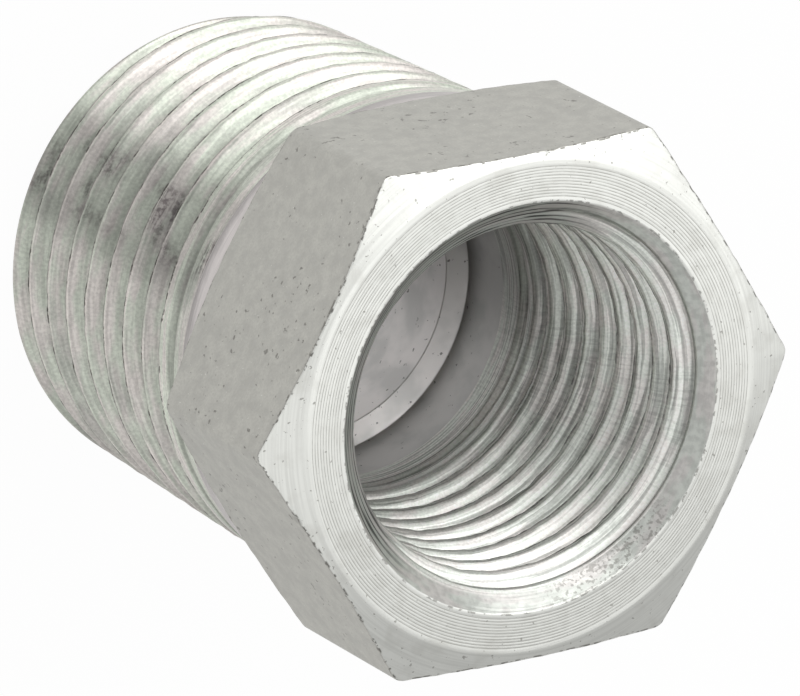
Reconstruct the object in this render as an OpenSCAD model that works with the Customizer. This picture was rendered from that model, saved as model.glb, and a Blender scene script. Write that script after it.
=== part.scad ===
// Hex reducing adapter for hydraulic lines: a 1/2 inch taper pipe thread outside
// on one end, a 7/8 inch hexagon, and a 3/8 inch taper pipe thread inside the hexagon.
// The part is one piece turned from hexagon bar. Millimetres, +Z up, on its threaded end.

/* [Overall] */

// Height from the threaded end to the hexagon's front face
total_h = 28; // [27:0.5:30]

/* [Hexagon] */

// Width across the flats, 7/8 inch bar
across_flats = 22.225; // [22:0.025:22.6]

// Diameter that the bar's corners are skimmed to
corner_d = 25.5; // [25.4:0.05:25.6]

// Length of the hexagon from its front face, at the middle of a flat
hex_len = 9.3; // [8.5:0.1:10]

// Slope of the rear chamfer, from a plane square to the axis
rear_chamfer_deg = 24; // [20:1:32]

// Slope of the front chamfer, from the front face
front_chamfer_deg = 18; // [15:1:25]

// Diameter of the front face inside its chamfer
face_d = 21.5; // [21:0.1:21.9]

/* [Collar] */

// Diameter of the round collar between the hexagon and the outside thread
collar_d = 22; // [21.95:0.01:22.02]

// Length of the collar behind the hexagon's flats
collar_len = 1.2; // [0.8:0.1:1.5]

/* [Outside thread] */

// Pitch of the 1/2 inch taper pipe thread, 14 turns to the inch
outside_pitch = 1.814; // [1.8:0.002:1.83]

// Diameter over the crests at the small end
outside_crest_d = 20.72; // [20.6:0.02:20.8]

// Depth of the groove under the crests
outside_depth = 1.2; // [1.1:0.02:1.26]

// Width of the flat at the bottom of the groove
outside_root_flat = 0.12; // [0.1:0.01:0.16]

// Length of full thread from the small end, before the groove runs out
outside_full_len = 14.4; // [13.5:0.1:14.8]

// Height of the groove's first turn over the small end, on the +X side
outside_start = 0.94; // [0.2:0.02:1.8]

// Chamfer on the small end
end_chamfer = 1.1; // [0.9:0.1:1.3]

/* [Inside thread] */

// Pitch of the 3/8 inch taper pipe thread, 18 turns to the inch
inside_pitch = 1.411; // [1.4:0.001:1.42]

// Diameter at the bottom of the inside groove, at the front face
inside_root_d = 16.95; // [16.9:0.01:17]

// Diameter over the inside crests at the front face, where the hole is reamed to the taper
inside_crest_d = 15.4; // [15.3:0.02:15.5]

// Width of the flat at the bottom of the inside groove
inside_root_flat = 0.13; // [0.12:0.01:0.16]

// Depth of full inside thread from the front face
inside_full_len = 12.4; // [11.5:0.1:12.8]

// Depth of the inside groove's first turn under the front face, on the +X side
inside_start = 0.86; // [0.2:0.01:1.4]

// Diameter of the countersink at the front face
mouth_d = 17.96; // [17.8:0.02:18.1]

/* [Bore] */

// Diameter of the hole drilled for the inside thread
drill_d = 14.68; // [14.6:0.02:14.76]

// Depth of that hole from the front face, down to its cone
drill_depth = 18.3; // [18:0.05:19]

// Diameter of the bore through the threaded end
bore_d = 13; // [12.5:0.1:13.4]

// Chamfer where the bore leaves the threaded end
bore_chamfer = 0.5; // [0.3:0.1:0.7]

/* [Hidden] */

// Taper of both threads: radius gained for each millimetre of length, 1 in 16 on diameter
taper = 1 / 32;

// Half angle of both thread grooves
flank_deg = 30;

// How fast each groove runs out, radius for each millimetre of length
outside_run_out = 0.42;
inside_run_out = 0.30;

// Half angle of the drilled hole's cone
drill_cone_deg = 59;

// Straight steps round each thread
outside_steps = 72;
inside_steps = 66;

// What one solid reaches past another where one cuts or carries the other
past = 1;

// Heights of the hexagon and its collar
hex_z = total_h - hex_len;
collar_z = hex_z - collar_len;
corner_z = hex_z + (corner_d - across_flats) / 2 * tan(rear_chamfer_deg);
front_corner_z = total_h - (corner_d - face_d) / 2 * tan(front_chamfer_deg);

// Distance between opposite corners of the bar before they are skimmed
across_corners = across_flats / cos(30);

// Radius over the outside crests at a height
function crest_r(z) = outside_crest_d / 2 + taper * z;

// Radius at the bottom of the outside groove at a height, rising where it runs out
function outside_root_r(z) = crest_r(z) - outside_depth + outside_run_out * max(0, z - outside_full_len);

// Height of the inside thread's last full turn
inside_full_z = total_h - inside_full_len;

// Radius at the bottom of the inside groove at a height, closing where it runs out
function inside_root_r(z) =
    inside_root_d / 2 - taper * (total_h - z) - inside_run_out * max(0, inside_full_z - z);

// Height of a sharp ridge between two grooves over the bottoms of the grooves
function ridge(pitch, flat) = (pitch - flat) / 2 / tan(flank_deg);

// One solid with a helical groove form. Each profile point is [height, radius over the root],
// and the first one comes again a pitch higher, where the next turn starts.
module helix_form(pitch, profile, steps, turns, z_start, outside) {
    m = len(profile);
    k_end = steps * turns;
    function root_r(z) = outside ? outside_root_r(z) : inside_root_r(z);
    function at(k, j) =
        let(
            a = 360 * k / steps,
            z = z_start + pitch * k / steps + profile[j][0],
            r = root_r(z) + profile[j][1]
        )
        [r * cos(a), r * sin(a), z];
    ring = [for (k = [0 : k_end + steps]) for (j = [0 : m - 1]) at(k, j)];
    low = [0, 0, z_start];
    high = [0, 0, z_start + pitch * (turns + 1)];
    points = concat(ring, [low, high]);
    low_i = len(ring);
    high_i = low_i + 1;
    function id(k, j) = j == m ? (k + steps) * m : k * m + j;
    sides = [
        for (k = [0 : k_end - 1]) for (j = [0 : m - 1]) for (half = [0, 1])
            half == 0
                ? [id(k, j), id(k, j + 1), id(k + 1, j)]
                : [id(k + 1, j), id(k, j + 1), id(k + 1, j + 1)]
    ];
    low_fan = [for (k = [0 : steps - 1]) [low_i, id(k, 0), id(k + 1, 0)]];
    high_fan = [for (k = [k_end : k_end + steps - 1]) [high_i, id(k + 1, 0), id(k, 0)]];
    low_step = [concat([low_i], [for (j = [m : -1 : 0]) id(0, j)])];
    high_step = [concat([high_i], [for (j = [0 : m]) id(k_end, j)])];
    polyhedron(points, concat(sides, low_fan, high_fan, low_step, high_step));
}

// The outside thread's groove form, a little longer than the thread at both ends
module outside_form() {
    apex = ridge(outside_pitch, outside_root_flat);
    middle = (outside_pitch + outside_root_flat) / 2;
    profile = [[0, 0], [outside_root_flat, 0], [middle, apex]];
    start_z = outside_start - outside_root_flat / 2 - 2 * outside_pitch;
    turns = ceil((collar_z + past - start_z) / outside_pitch);
    helix_form(outside_pitch, profile, outside_steps, turns, start_z, true);
}

// The tap's form: its teeth reach out to the bottom of the inside groove
module tap_form() {
    depth = ridge(inside_pitch, inside_root_flat);
    middle = (inside_pitch + inside_root_flat) / 2;
    profile = [[0, 0], [inside_root_flat, 0], [middle, -depth]];
    first_turn = ceil((inside_full_len - inside_start) / inside_pitch) + 3;
    start_z = total_h - inside_start - inside_root_flat / 2 - first_turn * inside_pitch;
    turns = ceil((total_h - start_z) / inside_pitch);
    helix_form(inside_pitch, profile, inside_steps, turns, start_z, false);
}

// The threaded shank: a tapered blank with a chamfered end, cut by the groove form. It reaches
// a little way into the head, where the groove has run out.
module shank() {
    intersection() {
        rotate_extrude($fn = 96)
            polygon([
                [0, 0],
                [crest_r(end_chamfer) - end_chamfer, 0],
                [crest_r(end_chamfer), end_chamfer],
                [crest_r(collar_z + past), collar_z + past],
                [0, collar_z + past]
            ]);
        outside_form();
    }
}

// The hexagon, with its two turned chamfers and the collar behind it
module head() {
    intersection() {
        translate([0, 0, collar_z])
            linear_extrude(hex_len + collar_len)
                circle(d = across_corners, $fn = 6);
        rotate_extrude($fn = 96)
            polygon([
                [0, collar_z],
                [collar_d / 2, collar_z],
                [collar_d / 2, hex_z - (across_flats - collar_d) / 2 * tan(rear_chamfer_deg)],
                [corner_d / 2, corner_z],
                [corner_d / 2, front_corner_z],
                [face_d / 2, total_h],
                [0, total_h]
            ]);
    }
}

// The drilled hole, its cone, the reamed taper over it, the bore through the shank, and both
// openings' chamfers
module bore_tool() {
    drill_z = total_h - drill_depth;
    cone_h = (drill_d - bore_d) / 2 / tan(drill_cone_deg);
    ream_z = total_h - (inside_crest_d - drill_d) / 2 / taper;
    sink_h = (mouth_d - inside_crest_d) / 2 / (1 - taper);
    rotate_extrude($fn = 96)
        polygon([
            [0, -past],
            [bore_d / 2 + bore_chamfer + past, -past],
            [bore_d / 2, bore_chamfer],
            [bore_d / 2, drill_z - cone_h],
            [drill_d / 2, drill_z],
            [drill_d / 2, ream_z],
            [inside_crest_d / 2 - taper * sink_h, total_h - sink_h],
            [mouth_d / 2 + past, total_h + past],
            [0, total_h + past]
        ]);
}

module adapter_body() {
    color([0.72, 0.73, 0.71])
        difference() {
            union() {
                shank();
                head();
            }
            bore_tool();
            tap_form();
        }
}

adapter_body();
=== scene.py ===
import math

import bmesh
import bpy
import numpy as np
from mathutils import Matrix, Vector, noise


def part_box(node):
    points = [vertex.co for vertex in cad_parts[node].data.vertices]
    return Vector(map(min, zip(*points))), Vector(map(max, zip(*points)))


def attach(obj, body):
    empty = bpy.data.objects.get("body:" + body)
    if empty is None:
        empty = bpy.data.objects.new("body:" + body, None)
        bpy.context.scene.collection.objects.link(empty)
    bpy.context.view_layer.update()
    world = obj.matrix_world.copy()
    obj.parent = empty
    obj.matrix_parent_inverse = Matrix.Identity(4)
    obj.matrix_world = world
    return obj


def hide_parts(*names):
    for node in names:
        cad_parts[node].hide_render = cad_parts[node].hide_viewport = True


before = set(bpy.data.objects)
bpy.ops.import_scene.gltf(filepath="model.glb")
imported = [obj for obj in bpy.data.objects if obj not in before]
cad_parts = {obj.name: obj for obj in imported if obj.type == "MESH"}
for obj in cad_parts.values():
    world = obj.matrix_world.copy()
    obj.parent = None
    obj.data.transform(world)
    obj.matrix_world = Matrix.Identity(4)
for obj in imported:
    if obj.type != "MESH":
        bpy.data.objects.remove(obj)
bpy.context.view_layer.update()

# The camera looks along the photograph's line of sight from a long lens: down into the
# hexagon's port, with the picture turned until the part's axis points down and right.
MM = 0.001
AIM = Vector((0.958, -1.145, 14.962)) * MM
CAMERA_DISTANCE = 596 * MM
CAMERA_AZIMUTH = math.radians(145.461)
CAMERA_ELEVATION = math.radians(56.222)
CAMERA_ROLL = math.radians(118.409)
LENS_MM = 628.6
SENSOR_MM = 36

towards_camera = Vector((
    math.cos(CAMERA_ELEVATION) * math.cos(CAMERA_AZIMUTH),
    math.cos(CAMERA_ELEVATION) * math.sin(CAMERA_AZIMUTH),
    math.sin(CAMERA_ELEVATION),
))
camera_data = bpy.data.cameras.new("camera")
camera_data.lens = LENS_MM
camera_data.sensor_width = SENSOR_MM
camera = bpy.data.objects.new("camera", camera_data)
upright = towards_camera.to_track_quat("Z", "Y")
camera.rotation_euler = (upright.to_matrix() @ Matrix.Rotation(CAMERA_ROLL, 3, "Z")).to_euler()
camera.location = AIM + towards_camera * CAMERA_DISTANCE
bpy.context.scene.collection.objects.link(camera)
bpy.context.scene.camera = camera


# The floor is a plain white sheet, a hair under the part. To the camera it is nearly all
# background white, with a little of its lit surface, so the part's shadow stays. The metal
# mirrors less of that white.
def add_node(tree, kind, inputs=None, **settings):
    """Adds one node. An input takes a number, a colour or another node's output."""
    made = tree.nodes.new(kind)
    for name, value in settings.items():
        setattr(made, name, value)
    for name, value in (inputs or {}).items():
        if isinstance(value, bpy.types.NodeSocket):
            tree.links.new(value, made.inputs[name])
        else:
            made.inputs[name].default_value = value
    return made


def linear(hex_colour):
    """An sRGB colour such as "#A0A1A2" as linear red, green, blue and alpha."""
    parts = [int(hex_colour[i:i + 2], 16) / 255 for i in (1, 3, 5)]
    return [p / 12.92 if p <= 0.04045 else ((p + 0.055) / 1.055) ** 2.4 for p in parts] + [1]


FLOOR_HALF = 600 * MM
FLOOR_Z = -0.02 * MM
WHITE_TO_CAMERA = 0.97
WHITE_IN_METAL = 0.46

floor_mesh = bpy.data.meshes.new("floor")
floor_corners = [(-FLOOR_HALF, -FLOOR_HALF, FLOOR_Z), (FLOOR_HALF, -FLOOR_HALF, FLOOR_Z),
                 (FLOOR_HALF, FLOOR_HALF, FLOOR_Z), (-FLOOR_HALF, FLOOR_HALF, FLOOR_Z)]
floor_mesh.from_pydata(floor_corners, [], [(0, 1, 2, 3)])
floor = bpy.data.objects.new("floor", floor_mesh)
bpy.context.scene.collection.objects.link(floor)

white_sheet = bpy.data.materials.new("white_sheet")
white_sheet.use_nodes = True
tree = white_sheet.node_tree
tree.nodes.clear()
lit = add_node(tree, "ShaderNodeBsdfDiffuse", {"Color": linear("#E8E8E6")})
glow = add_node(tree, "ShaderNodeEmission", {"Color": linear("#FFFFFF"), "Strength": 1})
ray = add_node(tree, "ShaderNodeLightPath")
seen = add_node(tree, "ShaderNodeMath", {0: ray.outputs["Is Camera Ray"], 1: WHITE_TO_CAMERA},
                operation="MULTIPLY")
mirrored = add_node(tree, "ShaderNodeMath", {0: ray.outputs["Is Glossy Ray"], 1: WHITE_IN_METAL},
                    operation="MULTIPLY")
white_share = add_node(tree, "ShaderNodeMath", {0: seen.outputs[0], 1: mirrored.outputs[0]},
                       operation="MAXIMUM")
mixed = add_node(tree, "ShaderNodeMixShader",
                 {0: white_share.outputs[0], 1: lit.outputs[0], 2: glow.outputs[0]})
add_node(tree, "ShaderNodeOutputMaterial", {"Surface": mixed.outputs[0]})
floor_mesh.materials.append(white_sheet)


# The light is a pale room with broad soft boxes overhead, at the back and low on the right,
# and a weak one on the left. None stands behind the camera, so what faces it is darker.
ROOM_LEVEL = 0.58
PART_MIDDLE = Vector((0, 0, 14)) * MM

world = bpy.data.worlds.new("room")
bpy.context.scene.world = world
world.use_nodes = True
tree = world.node_tree
tree.nodes.clear()
room = add_node(tree, "ShaderNodeBackground", {"Color": linear("#FFFFFF"), "Strength": ROOM_LEVEL})
add_node(tree, "ShaderNodeOutputWorld", {"Surface": room.outputs[0]})


def soft_box(name, place_mm, size_mm, watts):
    """A square area lamp that faces the part's middle."""
    lamp = bpy.data.lights.new(name, "AREA")
    lamp.shape = "SQUARE"
    lamp.size = size_mm * MM
    lamp.energy = watts
    holder = bpy.data.objects.new(name, lamp)
    holder.location = Vector(place_mm) * MM
    holder.rotation_euler = (PART_MIDDLE - holder.location).to_track_quat("-Z", "Y").to_euler()
    bpy.context.scene.collection.objects.link(holder)


soft_box("key", (150, 30, 290), 340, 0.21)
soft_box("back", (98, 222, 220), 320, 0.47)
soft_box("side", (290, -50, 150), 200, 0.03)
soft_box("fill", (-95, -125, 280), 200, 0.055)


# The adapter is one piece, turned from steel hexagon bar and zinc plated. Its shank has a taper
# of 1 in 16 and a chamfered end, and was threaded with a 60 degree die of 14 turns an inch.
# Every size below is the part's own, in millimetres.
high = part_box("adapter_body")[1]
TOTAL_H = high.z / MM
CORNER_R = high.x / MM
FLAT_R = high.y / MM
TAPER = 1 / 32
FLANK = math.tan(math.radians(30))

BORE_R = 6.5
BORE_CHAMFER = 0.5
END_CHAMFER = 1.1
COLLAR_Z = 17.5
OUTSIDE_CREST_R = 10.36
OUTSIDE_PITCH = 1.814
OUTSIDE_DEPTH = 1.2
OUTSIDE_ROOT_FLAT = 0.12
OUTSIDE_FULL_LEN = 14.4
OUTSIDE_RUN_OUT = 0.42
OUTSIDE_START = 0.94
OUTSIDE_SOFTNESS = 0.10

# The outline's corners are rounded by about these lengths.
SHARP = 0.05
SHARPEST = 0.03

# Columns round the part, closer together towards the hexagon's corners
COLUMNS_A_SIDE = 44
CLUSTER = 1.35
steps = np.arange(COLUMNS_A_SIDE // 2 + 1) / (COLUMNS_A_SIDE // 2)
half_side = 30 * steps ** CLUSTER
one_side = np.concatenate([half_side, 60 - half_side[-2:0:-1]])
angle = np.radians(np.concatenate([one_side + 60 * k for k in range(6)] + [[360]]))
columns = len(angle)

rows = []


def add_row(r, z, finish, edge=0.0, burr=0.0, lay=0.0):
    """One closed ring of points. finish is the surface's number up to the next row, edge is 1
    along a sharp edge, burr is 1 on a thread's torn edge, and lay is the distance across a
    thread's groove in millimetres, or 1 at the bottom of a feed ring on the front face."""
    rows.append([finish] + [np.broadcast_to(value, columns) for value in (r, z, edge, burr, lay)])


def soft_min(a, b, width):
    """The lower of two heights, rounded where they meet."""
    share = np.clip(0.5 + 0.5 * (b - a) / width, 0, 1)
    return b + (a - b) * share - width * share * (1 - share)


def outside_blank(z):
    """Radius of the turned shank before it was threaded."""
    crest = OUTSIDE_CREST_R + TAPER * z
    return np.minimum(crest, OUTSIDE_CREST_R + TAPER * END_CHAMFER - END_CHAMFER + z)


def outside_root(z):
    """Radius at the bottom of the outside groove, which runs out towards the collar."""
    run_out = OUTSIDE_RUN_OUT * np.maximum(0, z - OUTSIDE_FULL_LEN)
    return OUTSIDE_CREST_R + TAPER * z - OUTSIDE_DEPTH + run_out


def outside_r(z):
    """Radius of the finished shank at each column."""
    off = np.abs(from_centre(z, OUTSIDE_PITCH, OUTSIDE_START))
    groove = outside_root(z) + np.maximum(0, off - OUTSIDE_ROOT_FLAT / 2) / FLANK
    return soft_min(outside_blank(z), groove, OUTSIDE_SOFTNESS)


def from_centre(z, pitch, start):
    """Distance up the axis from the middle of the nearest turn of the groove."""
    return (z - start - pitch * angle / math.tau + pitch / 2) % pitch - pitch / 2


# A groove this shallow has no torn edge, and a groove deeper by the second length has all of it.
SHALLOW = 0.25
SHALLOW_FADE = 0.5

# A row this near to the crest's middle counts as on both sides of it.
MIDDLE_OF_CREST = 0.01


def crest_edges(off, depth, pitch, root_flat, softness):
    """One along both edges of a crest, and one along its torn lower edge only, fading over the
    crest and where the groove is shallow. off is a row's distance from the groove's middle."""
    past_edge = (np.abs(off) - root_flat / 2 - FLANK * depth) / (softness * FLANK)
    deep = np.clip((depth - SHALLOW) / SHALLOW_FADE, 0, 1)
    near = np.clip(2 - np.abs(past_edge), 0, 1)
    torn = np.clip(np.where(past_edge < 0, 1 + 0.5 * past_edge, 1 - 0.2 * past_edge), 0, 1)
    torn_side = (off > 0) | (off < MIDDLE_OF_CREST - pitch / 2)
    return near * deep, torn * torn_side * deep


# Rows across a crest's edge, counted in the width over which it is rounded. The groove's half
# width follows from its depth at that edge, so it is found in a few tries.
EDGE_ROWS = (-2.2, -1, 0, 1, 2.2)
HALF_WIDTH_TRIES = 8


def thread_heights(pitch, start, turns, depth_at, root_flat, softness, low_z, high_z):
    """Heights of the rows that follow a groove: its bottom, its flanks, its edges and the
    crest. Rows that leave the thread's length stay on its end."""
    reach = softness * FLANK
    heights = []
    for turn in range(turns):
        centre = start + pitch * (turn + angle / math.tau)
        for way in (-1, 1):
            half = np.full(columns, root_flat)
            for _ in range(HALF_WIDTH_TRIES):
                half = root_flat / 2 + FLANK * np.maximum(0, depth_at(centre + way * half))
            half = np.minimum(half, pitch / 2 - 0.001)
            edge = [half + reach * k for k in EDGE_ROWS]
            offsets = [np.full(columns, root_flat / 2)] + edge
            if way < 0:
                offsets = [-o for o in reversed(offsets)]
            else:
                offsets.append(np.full(columns, pitch / 2))
            heights += [centre + np.clip(o, -pitch / 2, pitch / 2) for o in offsets]
    below = np.full(columns, low_z)
    for height in heights:
        below = np.maximum(below, np.clip(height, low_z, high_z))
        yield below


END_FACE, THREAD, COLLAR, FLAT, CHAMFER, FACE, TAPPED, DRILLED, BORE = range(9)

OUT = (1, 0)
IN = (-1, 0)
UP = (0, 1)
DOWN = (0, -1)
SLOPE = math.sqrt(0.5)

# How far from a rounded corner the rows beside it stand, in the corner's size
BESIDE = 1.8


def soft_corner(r, z, before, after, size, finish_before, finish_after, edge=1.0):
    """Rounds the outline at (r, z) with four rows, and adds one on each side of them. before
    and after are unit directions, as (r, z), of the outline into and out of the corner."""
    starts = (r - before[0] * size, z - before[1] * size)
    ends = (r + after[0] * size, z + after[1] * size)
    add_row(r - before[0] * size * BESIDE, z - before[1] * size * BESIDE, finish_before)
    for t in (0, 0.33, 0.67, 1):
        spot = [s * (1 - t) ** 2 + 2 * t * (1 - t) * c + e * t ** 2
                for s, c, e in zip(starts, (r, z), ends)]
        add_row(spot[0], spot[1], finish_before if t < 0.5 else finish_after, edge)
    add_row(r + after[0] * size * BESIDE, z + after[1] * size * BESIDE, finish_after)


# The die tears no edge on the end's chamfer, and its rows stop short of the collar.
CHAMFER_FADE = 0.6
THREAD_END_Z = COLLAR_Z - 0.1

soft_corner(BORE_R + BORE_CHAMFER, 0, (SLOPE, -SLOPE), OUT, SHARP, BORE, END_FACE)
for height in thread_heights(
        OUTSIDE_PITCH, OUTSIDE_START - 2 * OUTSIDE_PITCH,
        math.ceil(COLLAR_Z / OUTSIDE_PITCH) + 3,
        lambda z: outside_blank(z) - outside_root(z), OUTSIDE_ROOT_FLAT, OUTSIDE_SOFTNESS,
        0, THREAD_END_Z):
    off = from_centre(height, OUTSIDE_PITCH, OUTSIDE_START)
    depth = outside_blank(height) - outside_root(height)
    near, torn = crest_edges(off, depth, OUTSIDE_PITCH, OUTSIDE_ROOT_FLAT, OUTSIDE_SOFTNESS)
    past_chamfer = np.clip((height - END_CHAMFER) / CHAMFER_FADE, 0, 1)
    add_row(outside_r(height), height, THREAD, near * past_chamfer, torn * past_chamfer, np.abs(off))


# The hexagon: the bar's own cold-drawn flats, with both ends and the corners turned back to
# a chamfer, and a narrow round collar left between it and the thread.
COLLAR_R = 11.0
COLLAR_EDGE = 0.05
HEX_LEN = 9.3
REAR_CHAMFER = math.radians(24)
FRONT_CHAMFER = math.radians(18)
CORNER_SOFTNESS = 0.08
FRONT_EDGE = 0.07
FACE_R = 10.75
FACE_EDGE = 0.08
MOUTH_R = 8.98
FACE_RINGS = 11
FIRST_RING_R = FACE_R - 0.26
RING_SPACING = 0.13
RING_WIDTH = 0.055
RING_DEPTH = 0.006
HEX_Z = TOTAL_H - HEX_LEN

from_flat = angle % math.radians(60) - math.radians(30)
hexagon_r = soft_min(FLAT_R / np.cos(from_flat), np.full(columns, CORNER_R), CORNER_SOFTNESS)
rear_z = HEX_Z + (hexagon_r - FLAT_R) * math.tan(REAR_CHAMFER)
front_z = TOTAL_H - (hexagon_r - FACE_R) * math.tan(FRONT_CHAMFER)
rear_slope = (math.cos(REAR_CHAMFER), math.sin(REAR_CHAMFER))
front_slope = (-math.cos(FRONT_CHAMFER), math.sin(FRONT_CHAMFER))
collar_top = HEX_Z - (FLAT_R - COLLAR_R) * math.tan(REAR_CHAMFER)

add_row(OUTSIDE_CREST_R + TAPER * COLLAR_Z, COLLAR_Z - 0.04, COLLAR)
add_row(COLLAR_R - COLLAR_EDGE, COLLAR_Z, COLLAR)
add_row(COLLAR_R, COLLAR_Z + 0.06, COLLAR)
soft_corner(COLLAR_R, collar_top, UP, rear_slope, SHARPEST, COLLAR, COLLAR, 0.3)
soft_corner(hexagon_r, rear_z, rear_slope, UP, SHARP, COLLAR, FLAT)
for share in np.linspace(0.08, 0.92, 7):
    add_row(hexagon_r, rear_z + (front_z - rear_z) * share, FLAT)
soft_corner(hexagon_r, front_z, UP, front_slope, FRONT_EDGE, FLAT, CHAMFER)
soft_corner(FACE_R, TOTAL_H, front_slope, IN, FACE_EDGE, CHAMFER, FACE, 0.0)
for ring in range(FACE_RINGS):
    ring_r = FIRST_RING_R - ring * RING_SPACING
    add_row(ring_r + RING_WIDTH / 2, TOTAL_H, FACE)
    add_row(ring_r, TOTAL_H - RING_DEPTH, FACE, lay=1.0)
    add_row(ring_r - RING_WIDTH / 2, TOTAL_H, FACE)


# The port: drilled, countersunk and tapped 18 turns an inch, with the tap's taper and its
# run-out above the drilled wall.
DRILL_R = 7.34
DRILL_Z = TOTAL_H - 18.3
INSIDE_CREST_R = 7.70
INSIDE_PITCH = 1.411
INSIDE_ROOT_R = 8.475
INSIDE_ROOT_FLAT = 0.13
INSIDE_FULL_Z = TOTAL_H - 12.4
INSIDE_RUN_OUT = 0.30
INSIDE_END_Z = 13.0
INSIDE_TOP_Z = TOTAL_H - 0.1
INSIDE_START = TOTAL_H - 0.86
INSIDE_SOFTNESS = 0.22
INSIDE_SOFT_DEPTH = 0.4


def inside_blank(z):
    """Radius of the drilled, reamed and countersunk hole before it was tapped."""
    reamed = INSIDE_CREST_R - TAPER * (TOTAL_H - z)
    return np.maximum(np.maximum(DRILL_R, reamed), MOUTH_R - (TOTAL_H - z))


def inside_root(z):
    """Radius at the bottom of the inside groove."""
    run_out = INSIDE_RUN_OUT * np.maximum(0, INSIDE_FULL_Z - z)
    return INSIDE_ROOT_R - TAPER * (TOTAL_H - z) - run_out


def inside_r(z):
    """Radius of the finished port at each column. Its edges are sharper where it is shallow."""
    off = np.abs(from_centre(z, INSIDE_PITCH, INSIDE_START))
    groove = inside_root(z) - np.maximum(0, off - INSIDE_ROOT_FLAT / 2) / FLANK
    depth = inside_root(z) - inside_blank(z)
    softness = INSIDE_SOFTNESS * np.clip(depth / INSIDE_SOFT_DEPTH, 0.1, 1)
    return -soft_min(-inside_blank(z), -groove, softness)


inside_turns = math.ceil((INSIDE_START - INSIDE_END_Z) / INSIDE_PITCH) + 1
inside_rows = list(thread_heights(
    INSIDE_PITCH, INSIDE_START - inside_turns * INSIDE_PITCH, inside_turns + 1,
    lambda z: inside_root(z) - inside_blank(z), INSIDE_ROOT_FLAT, INSIDE_SOFTNESS,
    INSIDE_END_Z, INSIDE_TOP_Z))
soft_corner(MOUTH_R, TOTAL_H, IN, (-SLOPE, -SLOPE), SHARP, FACE, TAPPED, 0.7)
for height in reversed(inside_rows):
    off = from_centre(height, INSIDE_PITCH, INSIDE_START)
    depth = inside_root(height) - inside_blank(height)
    near, torn = crest_edges(off, depth, INSIDE_PITCH, INSIDE_ROOT_FLAT, INSIDE_SOFTNESS)
    add_row(inside_r(height), height, TAPPED, near, torn, np.abs(off))


# The bore: a drilled wall under the thread, the drill's cone, and the smaller hole through
# the shank, chamfered where it leaves the end face.
CONE = math.radians(59)
cone_h = (DRILL_R - BORE_R) / math.tan(CONE)
cone_slope = (-math.sin(CONE), -math.cos(CONE))

for share in (0.1, 0.4, 0.7):
    add_row(DRILL_R, INSIDE_END_Z + (DRILL_Z - INSIDE_END_Z) * share, DRILLED)
soft_corner(DRILL_R, DRILL_Z, DOWN, cone_slope, SHARPEST, DRILLED, BORE, 0.0)
soft_corner(BORE_R, DRILL_Z - cone_h, cone_slope, DOWN, SHARPEST, BORE, BORE, 0.0)
for share in (0.25, 0.5, 0.75):
    add_row(BORE_R, (DRILL_Z - cone_h) * (1 - share) + BORE_CHAMFER * share, BORE)
soft_corner(BORE_R, BORE_CHAMFER, DOWN, (SLOPE, -SLOPE), SHARP, BORE, BORE, 0.3)


# The skin is one closed surface over all of these rows. Its sharp edges are a little ragged,
# as the tools and the tumbling left them, with a few deeper nicks where the part was knocked.
# A nick is its place, its radius and its depth.
RAGGED = 0.035
RAGGED_SCALE = 1.9
RAGGED_FINE_SCALE = 3.7
TORN = 0.10
TORN_SCALE = 1.3
TORN_SHIFT = Vector((7, 3, 5))
NICKS = (
    ((1.4, 11.1, 27.95), 0.32, 0.20),
    ((-6.2, 11.0, 27.7), 0.25, 0.10),
    ((-9.6, 5.8, 27.6), 0.22, 0.10),
    ((-11.2, -3.0, 27.6), 0.28, 0.12),
    ((4.9, 11.1, 18.9), 0.30, 0.12),
    ((12.0, -3.1, 27.5), 0.28, 0.12),
)
NICK_PRESS_DOWN = 12.0

finish = [row[0] for row in rows]
r, z, edge, burr, lay = (np.array([row[k] for row in rows]) for k in range(1, 6))
for i in range(len(rows)):
    if edge[i].max() == 0 and burr[i].max() == 0:
        continue
    for j in range(columns):
        around = angle[j % (columns - 1)]
        spot = Vector((r[i, j] * math.cos(around), r[i, j] * math.sin(around), z[i, j]))
        rough = noise.noise(spot * RAGGED_SCALE) + 0.5 * noise.noise(spot * RAGGED_FINE_SCALE)
        torn = min(0, noise.noise(spot * TORN_SCALE + TORN_SHIFT))
        depth = RAGGED * edge[i, j] * rough + TORN * burr[i, j] * torn
        outward = -1 if finish[i] == TAPPED else 1
        r[i, j] += outward * depth
points = np.stack([r * np.cos(angle), r * np.sin(angle), z], axis=-1)
for place, reach, depth in NICKS:
    away = points - np.array(place)
    share = np.clip(1 - np.sum(away ** 2, axis=-1) / reach ** 2, 0, 1)
    inward = np.array((-place[0], -place[1], -NICK_PRESS_DOWN))
    inward /= np.linalg.norm(inward)
    points += share[..., None] * depth * inward

# Rows that meet in a column share one vertex. The last column is the first one again, a turn
# of the groove further on.
SAME_PLACE = 0.0004
mesh_tool = bmesh.new()
layers = [mesh_tool.verts.layers.float.new(name) for name in ("edge", "burr", "lay")]
grid = [[None] * columns for _ in rows]
for j in range(columns - 1):
    for i in range(len(rows)):
        if i and np.linalg.norm(points[i, j] - points[i - 1, j]) < SAME_PLACE:
            grid[i][j] = grid[i - 1][j]
            continue
        grid[i][j] = mesh_tool.verts.new(points[i, j] * MM)
        for values, layer in zip((edge, burr, lay), layers):
            grid[i][j][layer] = values[i, j]
for i in range(len(rows)):
    nearest = np.argmin(np.linalg.norm(points[:, 0] - points[i, -1], axis=-1))
    grid[i][-1] = grid[nearest][0]
for i in range(len(rows)):
    after = (i + 1) % len(rows)
    for j in range(columns - 1):
        ring = (grid[i][j], grid[i][j + 1], grid[after][j + 1], grid[after][j])
        corners = list(dict.fromkeys(ring))
        if len(corners) > 2:
            made = mesh_tool.faces.new(corners)
            made.material_index = finish[i]
            made.smooth = True
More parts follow.
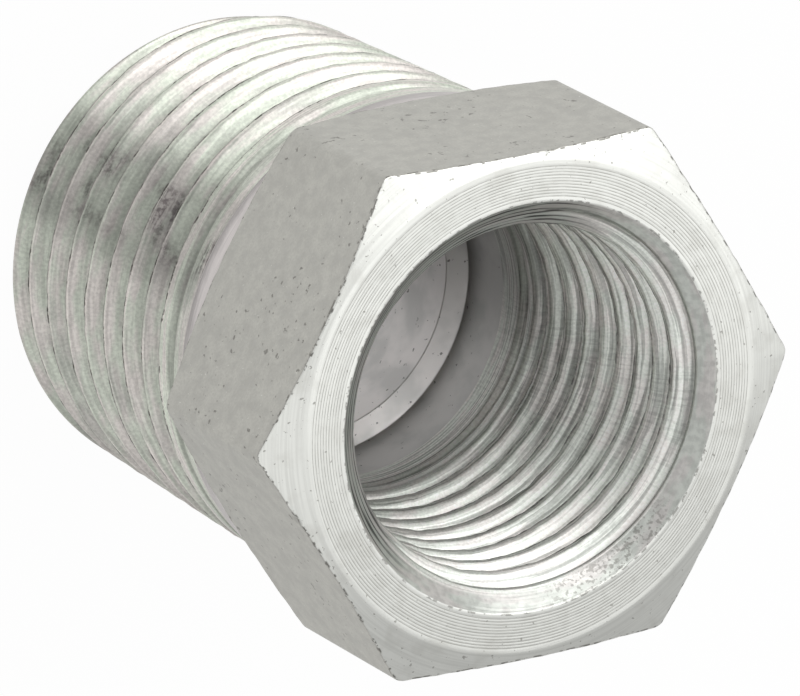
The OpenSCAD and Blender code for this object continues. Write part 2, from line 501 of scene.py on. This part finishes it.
bmesh.ops.recalc_face_normals(mesh_tool, faces=mesh_tool.faces)
body_mesh = bpy.data.meshes.new("adapter_skin")
mesh_tool.to_mesh(body_mesh)
mesh_tool.free()
body = bpy.data.objects.new("adapter_skin", body_mesh)
bpy.context.scene.collection.objects.link(body)


# Each finish is bare zinc over steel, and differs in how the surface under it was cut. All
# read the part's own coordinates in millimetres, so no pattern depends on the model's size.
def combine(tree, kind, a, b):
    """The value of one maths node."""
    return add_node(tree, "ShaderNodeMath", {0: a, 1: b}, operation=kind).outputs[0]


def product(tree, value, *others):
    """Several numbers multiplied together."""
    for other in others:
        value = combine(tree, "MULTIPLY", value, other)
    return value


def remap(tree, value, low_in, high_in, low_out, high_out):
    """A clamped range, smooth at both ends."""
    return add_node(tree, "ShaderNodeMapRange", {
        "Value": value, "From Min": low_in, "From Max": high_in, "To Min": low_out,
        "To Max": high_out}, interpolation_type="SMOOTHSTEP").outputs[0]


def between(tree, share, a, b):
    """Number a where share is 0 and number b where it is 1."""
    return add_node(tree, "ShaderNodeMix", {0: share, 2: a, 3: b}).outputs[0]


def blend(tree, share, a, b, mode="MIX"):
    """Colour a with colour b over it."""
    return add_node(tree, "ShaderNodeMix", {0: share, 6: a, 7: b},
                    data_type="RGBA", blend_type=mode).outputs[2]


def darken(tree, colour, share):
    """A colour times a number."""
    grey = add_node(tree, "ShaderNodeCombineColor", {0: share, 1: share, 2: share}).outputs[0]
    return blend(tree, 1.0, colour, grey, "MULTIPLY")


def attribute(tree, name):
    """A number stored on the mesh's vertices."""
    return add_node(tree, "ShaderNodeAttribute", attribute_name=name).outputs["Fac"]


class Metal:
    """A material with the coordinates that the patterns below share."""

    def __init__(self, name, roughness, anisotropy=0.0, metallic=1.0):
        self.material = bpy.data.materials.new(name)
        self.material.use_nodes = True
        self.tree = self.material.node_tree
        self.shader = self.tree.nodes["Principled BSDF"]
        self.shader.inputs["Metallic"].default_value = metallic
        self.shader.inputs["Roughness"].default_value = roughness
        self.shader.inputs["Anisotropic"].default_value = anisotropy
        if anisotropy:
            tangent = add_node(self.tree, "ShaderNodeTangent", direction_type="RADIAL", axis="Z")
            self.tree.links.new(tangent.outputs[0], self.shader.inputs["Tangent"])
        place = add_node(self.tree, "ShaderNodeTexCoord").outputs["Object"]
        self.mm = self.vector("SCALE", place, Scale=1 / MM)
        split = add_node(self.tree, "ShaderNodeSeparateXYZ", {0: self.mm})
        self.side = split.outputs["Y"]
        self.height = split.outputs["Z"]
        level = self.vector("MULTIPLY", self.mm, (1, 1, 0))
        self.outward = self.vector("NORMALIZE", level)
        self.radius = add_node(self.tree, "ShaderNodeVectorMath", {0: level},
                               operation="LENGTH").outputs["Value"]

    def vector(self, kind, a, b=(0, 0, 0), **more):
        """The vector of one vector maths node."""
        made = add_node(self.tree, "ShaderNodeVectorMath", {0: a, 1: b, **more}, operation=kind)
        return made.outputs[0]

    def grain(self, scale, detail=2.0, offset=(0, 0, 0)):
        """Even noise, scale to the millimetre."""
        place = self.vector("ADD", self.mm, offset)
        return add_node(self.tree, "ShaderNodeTexNoise",
                        {"Vector": place, "Scale": scale, "Detail": detail}).outputs["Fac"]

    def turned(self, across, around_scale, across_scale, detail=2.0):
        """Noise drawn out round the part, along the cut that the tool left."""
        place = self.vector("SCALE", self.outward, Scale=around_scale)
        rise = product(self.tree, across, across_scale)
        up = add_node(self.tree, "ShaderNodeCombineXYZ", {"Z": rise}).outputs[0]
        place = self.vector("ADD", place, up)
        return add_node(self.tree, "ShaderNodeTexNoise",
                        {"Vector": place, "Scale": 1, "Detail": detail}).outputs["Fac"]

    def turn_by_turn(self, lay):
        """Distance across a groove, shifted a little on each turn, so that no two are alike."""
        return combine(self.tree, "ADD", lay, product(self.tree, self.height, 0.15))

    def scored(self, across, radians_to_mm, wander, darkest):
        """Fine dark lines side by side, uneven where wander, a noise, shifts them."""
        phase = product(self.tree, across, radians_to_mm)
        phase = combine(self.tree, "ADD", phase, product(self.tree, wander, 9))
        return remap(self.tree, combine(self.tree, "SINE", phase, 0), 0.2, 0.9, 1, darkest)

    def toward(self, degrees, low_cos, high_cos):
        """One on the side of the part at an azimuth, fading to zero round the part."""
        way = (math.cos(math.radians(degrees)), math.sin(math.radians(degrees)), 0)
        cosine = add_node(self.tree, "ShaderNodeVectorMath", {0: self.outward, 1: way},
                          operation="DOT_PRODUCT").outputs["Value"]
        return remap(self.tree, cosine, low_cos, high_cos, 0, 1)

    def port_shade(self, high_z, low_z):
        """Painted shade deep in the port, darkest towards +Y."""
        shade_share = product(self.tree, remap(self.tree, self.side, -6, 1.5, 0, 1),
                        remap(self.tree, self.height, high_z, low_z, 0, 1))
        return remap(self.tree, shade_share, 0, 1, 1.0, 0.42)

    def finish(self, colour, bumps, roughness=None):
        """Joins the colour and the relief. bumps is a list of (height, depth in mm)."""
        normal = None
        for height, depth in bumps:
            inputs = {"Height": height, "Distance": depth * MM, "Strength": 1}
            if normal:
                inputs["Normal"] = normal
            normal = add_node(self.tree, "ShaderNodeBump", inputs).outputs[0]
        self.tree.links.new(colour, self.shader.inputs["Base Color"])
        if normal:
            self.tree.links.new(normal, self.shader.inputs["Normal"])
        if roughness is not None:
            self.tree.links.new(roughness, self.shader.inputs["Roughness"])
        return self.material


# The outside thread was cut by a die: fine lines along the turns, a torn lower edge on each
# crest, and the green and pink of the clear passivation, strongest here. Painted shade darkens
# each groove towards its root, the torn edges and the side towards -Y, and a painted highlight
# brightens each crest. One side has dark scuffs across the turns, where it rubbed on another
# part, and is darker along a narrow strip.
SCUFF_SIDE = 147.5


def cut_thread():
    metal = Metal("zinc_die_cut_thread", 0.42, metallic=0.9)
    tree = metal.tree
    lay = attribute(tree, "lay")
    across = metal.turn_by_turn(lay)
    lines = metal.turned(across, 3, 12, 4)
    streaks = metal.turned(metal.height, 4, 3, 3)
    clouds = metal.turned(metal.height, 2.2, 0.5, 3)
    pinkness = combine(tree, "ADD", remap(tree, lay, 0.3, 0.75, -0.09, 0.03), streaks)
    tint = remap(tree, pinkness, 0.38, 0.62, 0, 1)
    colour = blend(tree, tint, linear("#E6ECDF"), linear("#EFE9E4"))
    colour = blend(tree, remap(tree, clouds, 0.52, 0.68, 0, 0.5), colour, linear("#C2C1BC"))

    scuffed = product(tree, metal.toward(SCUFF_SIDE, 0.980, 0.998),
                      remap(tree, metal.grain(0.42, 1), 0.44, 0.60, 0, 0.8))
    rubbed = product(tree, remap(tree, metal.grain(5, 5), 0.35, 0.60, 0.3, 1),
                     remap(tree, metal.turned(across, 9, 10, 3), 0.40, 0.56, 0.25, 0.9))
    colour = blend(tree, product(tree, scuffed, rubbed), colour, linear("#675B5F"))

    line_shade = remap(tree, lines, 0.40, 0.60, 0.84, 1.02)
    # Painted shade, darker down the flank towards the groove's root.
    painted_groove_shade = remap(tree, lay, 0.15, 0.5, 0.70, 0.95)
    uneven_lay = combine(tree, "ADD", lay, remap(tree, streaks, 0.3, 0.7, -0.1, 0.1))
    # Painted highlight, brighter across the crest.
    painted_crest_highlight = remap(tree, uneven_lay, 0.64, 0.78, 1.0, 1.05)
    grain_shade = remap(tree, metal.grain(7, 4), 0.35, 0.65, 0.88, 1.05)
    # Darker along a narrow strip on the scuffed side.
    darker_strip = remap(tree, metal.toward(SCUFF_SIDE, 0.94, 0.995), 0, 1, 1, 0.71)
    # Painted shade, darker towards -Y.
    painted_shade_low_side = remap(tree, metal.side, -8.5, -4.5, 0.80, 1.0)
    colour = darken(tree, colour, product(
        tree, line_shade, painted_groove_shade, painted_crest_highlight, grain_shade, darker_strip, painted_shade_low_side))

    # Dark flecks along the torn crest edges: partly real tearing, partly painted shade of the groove
    # the crest hides.
    torn_here = product(tree, remap(tree, metal.grain(0.8, 3), 0.44, 0.56, 0, 1),
                        remap(tree, metal.grain(3.4, 4, (9, 0, 0)), 0.44, 0.54, 0.2, 1))
    torn_width = product(tree, remap(tree, torn_here, 0, 1, 0.95, 1.6), attribute(tree, "burr"))
    torn_flecks_and_shade = product(tree, remap(tree, torn_width, 0.48, 0.60, 0, 1),
                     remap(tree, torn_here, 0, 1, 0.5, 0.95))
    colour = blend(tree, torn_flecks_and_shade, colour, linear("#4A4742"))
    return metal.finish(colour, [(lines, 0.010), (metal.grain(10), 0.003)])


# The tapped port has coarser lines than the shank, some chatter across them, and darker crest
# edges, partly painted shade. Its countersink is painted darker all round as shade, deeply lined
# on one side, where the lines are painted very dark as shade too, and rubbed rough on the other.
# The side where the countersink's lines are painted very dark as shade
LINED_SIDE = 145
ROUGH_SIDE = -63
CHATTER_SIDE = -20
TAPPED_ROUGHNESS = 0.44
SINK_ROUGHNESS = 0.3

# Heights between which the countersink's own finish and painted shade, its deep lines and the painted
# shade deep in the port begin
SINK_Z = (TOTAL_H - 0.75, TOTAL_H - 0.6)
LINED_Z = (TOTAL_H - 2.2, TOTAL_H - 1.8)
PORT_SHADE_Z = (20, INSIDE_END_Z)


def tapped_thread():
    metal = Metal("zinc_tapped_thread", TAPPED_ROUGHNESS, metallic=0.72)
    tree = metal.tree
    lay = attribute(tree, "lay")
    lines = metal.turned(metal.turn_by_turn(lay), 1.3, 9, 3)
    tint = metal.turned(metal.height, 4, 2.5, 4)
    colour = blend(tree, remap(tree, tint, 0.42, 0.60, 0, 1), linear("#F6FAF3"), linear("#FAF7F3"))

    shade = product(tree, remap(tree, lines, 0.40, 0.50, 0.66, 1.06),
                    remap(tree, metal.grain(8, 4), 0.35, 0.65, 0.90, 1.04))
    chatter = product(tree, metal.toward(CHATTER_SIDE, 0.90, 0.98),
                      remap(tree, metal.turned(metal.height, 62, 0.8, 1), 0.42, 0.50, 0.10, 0))
    shade = combine(tree, "SUBTRACT", shade, chatter)
    shade = product(tree, shade, metal.scored(lay, 38, lines, 0.78))

    in_sink = remap(tree, metal.height, *SINK_Z, 0, 1)
    # Painted shade: the countersink darker all round.
    sink_painted_shade = remap(tree, metal.grain(3, 5), 0.35, 0.65, 0.60, 0.74)
    shade = between(tree, in_sink, shade, sink_painted_shade)
    # Real lines on the countersink towards LINED_SIDE, their darkness painted shade.
    lined_and_shaded = product(tree, metal.toward(LINED_SIDE, 0.0, 0.5),
                    remap(tree, metal.height, *LINED_Z, 0, 1))
    shaded_scores = product(tree, metal.scored(metal.height, 27, lines, 0.12), 0.52)
    shade = between(tree, lined_and_shaded, shade, shaded_scores)
    # Painted shade deep in the port, darker towards +Y.
    colour = darken(tree, colour, product(tree, shade, metal.port_shade(*PORT_SHADE_Z)))

    rough = product(tree, metal.toward(ROUGH_SIDE, 0.86, 0.98), in_sink,
                    remap(tree, metal.grain(6, 7), 0.48, 0.62, 0, 0.6))
    colour = blend(tree, rough, colour, linear("#6E6B66"))
    # Dark flecks along the crest edges: partly real tearing, partly painted shade of the groove behind
    # each crest.
    torn_flecks_and_shade = product(tree, remap(tree, metal.grain(2.2, 5), 0.44, 0.56, 0.4, 0.9),
                     remap(tree, attribute(tree, "burr"), 0.5, 0.9, 0, 1))
    colour = blend(tree, torn_flecks_and_shade, colour, linear("#403F3C"))
    roughness = remap(tree, in_sink, 0, 1, TAPPED_ROUGHNESS, SINK_ROUGHNESS)
    return metal.finish(colour, [(lines, 0.014), (metal.grain(8), 0.002)], roughness)


# The front face and its chamfer were turned on the lathe, with a fine feed that leaves rings. Painted
# light makes the face lighter towards +Y, and painted shade darkens the rings' bottoms.
def turned_face():
    metal = Metal("zinc_turned_face", 0.34, 0.25)
    tree = metal.tree
    lines = metal.turned(metal.radius, 2, 9, 4)
    patches = metal.grain(0.8, 4)
    colour = blend(tree, remap(tree, lines, 0.35, 0.7, 0, 1), linear("#EFF0EB"), linear("#E2E3DE"))
    colour = blend(tree, remap(tree, patches, 0.5, 0.7, 0, 0.5), colour, linear("#D6D6D0"))
    # Painted light and shade: lighter towards +Y, darker towards -Y.
    colour = darken(tree, colour, remap(tree, metal.side, -9, 5, 0.86, 1.0))
    # Painted shade along the bottoms of the feed rings.
    ring = product(tree, attribute(tree, "lay"), remap(tree, metal.grain(2, 2), 0.3, 0.6, 0.5, 0.9))
    colour = blend(tree, ring, colour, linear("#96958F"))
    specks = remap(tree, metal.grain(4.5, 5), 0.665, 0.70, 0, 0.7)
    colour = blend(tree, specks, colour, linear("#8A8882"))
    worn = product(tree, attribute(tree, "edge"), remap(tree, metal.grain(3.2, 3), 0.5, 0.6, 0, 0.85))
    colour = blend(tree, worn, colour, linear("#605E59"))
    return metal.finish(colour, [(lines, 0.003), (metal.grain(9, 3), 0.003)])


# The collar and the small end are turned too, more coarsely.
def turned_edge(name, hex_colour):
    metal = Metal(name, 0.32, 0.3)
    tree = metal.tree
    across = combine(tree, "ADD", metal.radius, metal.height)
    lines = metal.turned(across, 4, 12, 3)
    colour = darken(tree, linear(hex_colour), remap(tree, lines, 0.3, 0.7, 0.84, 1.03))
    return metal.finish(colour, [(lines, 0.008), (metal.grain(8), 0.004)])


# The flats are the bar's own cold-drawn skin: matt, mottled, with fine pits under the zinc.
def drawn_flat():
    metal = Metal("zinc_cold_drawn_flat", 0.5)
    tree = metal.tree
    mottle = metal.grain(1.6, 5)
    fine = metal.grain(9, 3)
    patches = remap(tree, metal.grain(0.35, 2), 0.42, 0.62, 0.635, 0.72)
    pit_noise = metal.grain(3.2, 7, (40, 0, 0))
    pits = remap(tree, combine(tree, "SUBTRACT", pit_noise, patches), 0.0, 0.04, 0, 0.75)
    bright = remap(tree, metal.grain(7.5, 2, (0, 60, 0)), 0.71, 0.78, 0, 0.7)
    colour = blend(tree, remap(tree, mottle, 0.3, 0.7, 0, 1), linear("#BFBEB9"), linear("#CBCAC4"))
    colour = blend(tree, remap(tree, fine, 0.35, 0.7, 0, 0.45), colour, linear("#B7B6B0"))
    colour = blend(tree, pits, colour, linear("#85837E"))
    colour = blend(tree, bright, colour, linear("#EBEBE7"))
    worn = product(tree, attribute(tree, "edge"), remap(tree, metal.grain(4, 5), 0.52, 0.62, 0, 0.7))
    colour = blend(tree, worn, colour, linear("#77756F"))
    return metal.finish(colour, [(mottle, 0.012), (fine, 0.006), (pits, -0.02)])


# Below the thread the drill left a smooth wall that the light hardly reaches, and painted
# shade darkens its side towards +Y.
def drilled_wall(name, hex_colour, metallic):
    metal = Metal(name, 0.42, metallic=metallic)
    tree = metal.tree
    lines = metal.turned(metal.height, 4, 7, 2)
    clouds = metal.grain(0.5, 3)
    colour = blend(tree, remap(tree, clouds, 0.4, 0.65, 0, 0.4), linear(hex_colour), linear("#B4B7B5"))
    pits = remap(tree, metal.grain(3.5, 5), 0.67, 0.71, 0, 0.7)
    colour = blend(tree, pits, colour, linear("#55534F"))
    # Painted shade on the side towards +Y.
    colour = darken(tree, colour, metal.port_shade(TOTAL_H, TOTAL_H - 1))
    return metal.finish(colour, [(lines, 0.004), (clouds, 0.01)])


# The finish of each numbered surface
face_finish = turned_face()
MATERIALS = {
    END_FACE: turned_edge("zinc_turned_end", "#D4D5D0"),
    THREAD: cut_thread(),
    COLLAR: turned_edge("zinc_turned_collar", "#D9D3D2"),
    FLAT: drawn_flat(),
    CHAMFER: face_finish,
    FACE: face_finish,
    TAPPED: tapped_thread(),
    DRILLED: drilled_wall("zinc_drilled_wall", "#EAE8E6", 0.7),
    # A lighter copy of the drilled wall's finish: painted light in the bore.
    BORE: drilled_wall("zinc_bore_wall_painted_light", "#FBF7F5", 0.95),
}
for number in sorted(MATERIALS):
    body_mesh.materials.append(MATERIALS[number])

# The skin rides the part's one body and stands in for its one node.
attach(body, "root")
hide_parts("adapter_body")

bpy.context.scene.view_settings.view_transform = "Standard"
